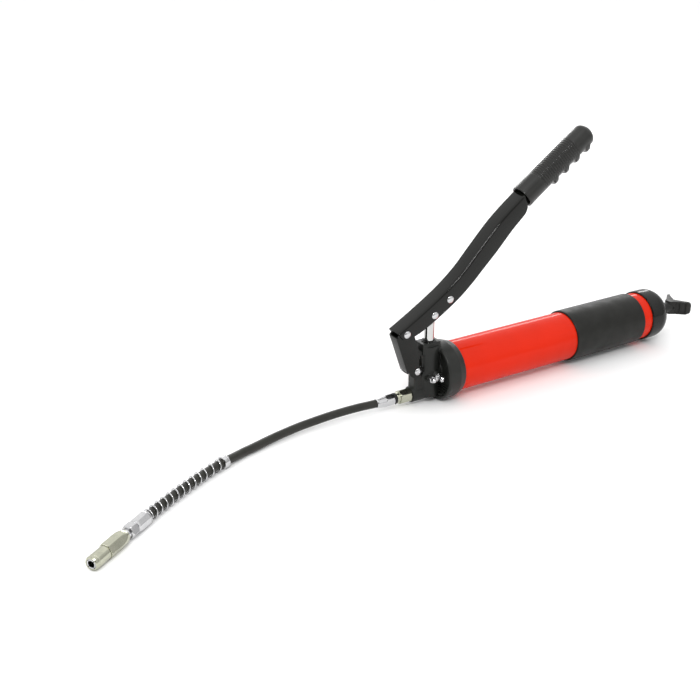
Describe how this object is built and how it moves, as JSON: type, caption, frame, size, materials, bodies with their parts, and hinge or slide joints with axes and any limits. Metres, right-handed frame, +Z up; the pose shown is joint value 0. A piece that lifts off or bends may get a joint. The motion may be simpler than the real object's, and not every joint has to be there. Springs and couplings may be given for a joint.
{
  "type": "hand lever grease gun",
  "caption": "Hand lever grease gun: red barrel with rubber grip, black head with lever and link, and a whip hose with spring guard and coupler.",
  "frame": {"origin": "on the bench, below the middle of the gun's bounding box without the hose", "axes": "+X along the barrel from the pump head to the pull handle, +Z up, the lever swings in the X-Z plane, the two fittings point to -Y"},
  "size_m": [0.8257, 0.1564, 0.2839],
  "materials": {
    "black_casting": "satin",
    "black_paint": "satin",
    "red_paint": "glossy",
    "black_rubber": "matte",
    "black_plastic": "matte",
    "bright_steel": "bright zinc",
    "yellow_zinc": "yellow zinc",
    "spring_steel": "satin",
    "brass": "satin"
  },
  "bodies": {
    "gun": {"pump_head": "black_casting", "head_gasket": "black_rubber", "barrel": "red_paint", "barrel_grip": "black_rubber", "end_cap": "black_paint", "rod_bushing": "brass", "follower_spring": "spring_steel", "plunger_packing": "black_plastic", "gland_ring": "black_paint", "head_pin": "bright_steel", "outlet_adapter": "yellow_zinc", "check_spring": "spring_steel", "filler_nipple": "bright_steel", "filler_ball": "bright_steel", "bleeder_body": "bright_steel", "seal_washer": "black_rubber", "head_ferrule": "bright_steel", "hose": "black_rubber", "spring_collar": "bright_steel", "spring_guard": "bright_steel", "coupler_ferrule": "bright_steel", "coupler_nut": "bright_steel", "coupler_body": "yellow_zinc", "coupler_sleeve": "yellow_zinc", "coupler_jaws": "bright_steel", "coupler_seal": "black_rubber", "coupler_piston": "brass", "coupler_spring": "spring_steel"},
    "link_arm": {"link": "black_paint"},
    "lever_arm": {"lever": "black_paint", "link_pin": "bright_steel", "plunger_pin": "bright_steel", "lever_rivet": "bright_steel", "lever_spacer": "bright_steel", "lever_grip": "black_rubber"},
    "plunger_rod": {"plunger": "bright_steel"},
    "follower": {"follower_cup": "black_rubber", "follower_plate": "spring_steel", "follower_nut": "spring_steel"},
    "pull_rod": {"follower_rod": "bright_steel", "rod_handle": "black_plastic", "handle_pin": "bright_steel"},
    "outlet_ball": {"check_ball": "bright_steel"},
    "bleeder_plunger": {"bleeder_pin": "bright_steel"}
  },
  "joints": [
    {"name": "link_swing", "type": "hinge", "parent": "gun", "child": "link_arm", "pos_m": [-0.18125, 0, 0.0415], "axis": [0, -1, 0], "range_deg": [-2.1, 5.5]},
    {"name": "lever_swing", "type": "hinge", "parent": "link_arm", "child": "lever_arm", "pos_m": [-0.19775, 0, 0.0895], "axis": [0, -1, 0], "range_deg": [-36, 13]},
    {"name": "plunger_slide", "type": "slide", "parent": "gun", "child": "plunger_rod", "axis": [0, 0, 1], "range_m": [-0.0219, 0.0083]},
    {"name": "follower_slide", "type": "slide", "parent": "gun", "child": "follower", "axis": [1, 0, 0], "range_m": [0, 0.17], "deforming": ["follower_spring"]},
    {"name": "rod_turn", "type": "hinge", "parent": "follower", "child": "pull_rod", "pos_m": [0.20875, 0, 0.033], "axis": [1, 0, 0], "continuous": true},
    {"name": "check_lift", "type": "slide", "parent": "gun", "child": "outlet_ball", "axis": [-1, 0, 0], "range_m": [0, 0.001], "stiffness_N_per_m": 200, "springref_m": -0.001, "deforming": ["check_spring"]},
    {"name": "bleeder_press", "type": "slide", "parent": "gun", "child": "bleeder_plunger", "axis": [0, 1, 0], "range_m": [0, 0.0012], "stiffness_N_per_m": 500, "springref_m": -0.001}
  ],
  "couplings": [
    {"joint": "link_swing", "follows": "lever_swing", "ratio": -0.14746},
    {"joint": "plunger_slide", "follows": "lever_swing", "m_per_rad": 0.034153}
  ]
}
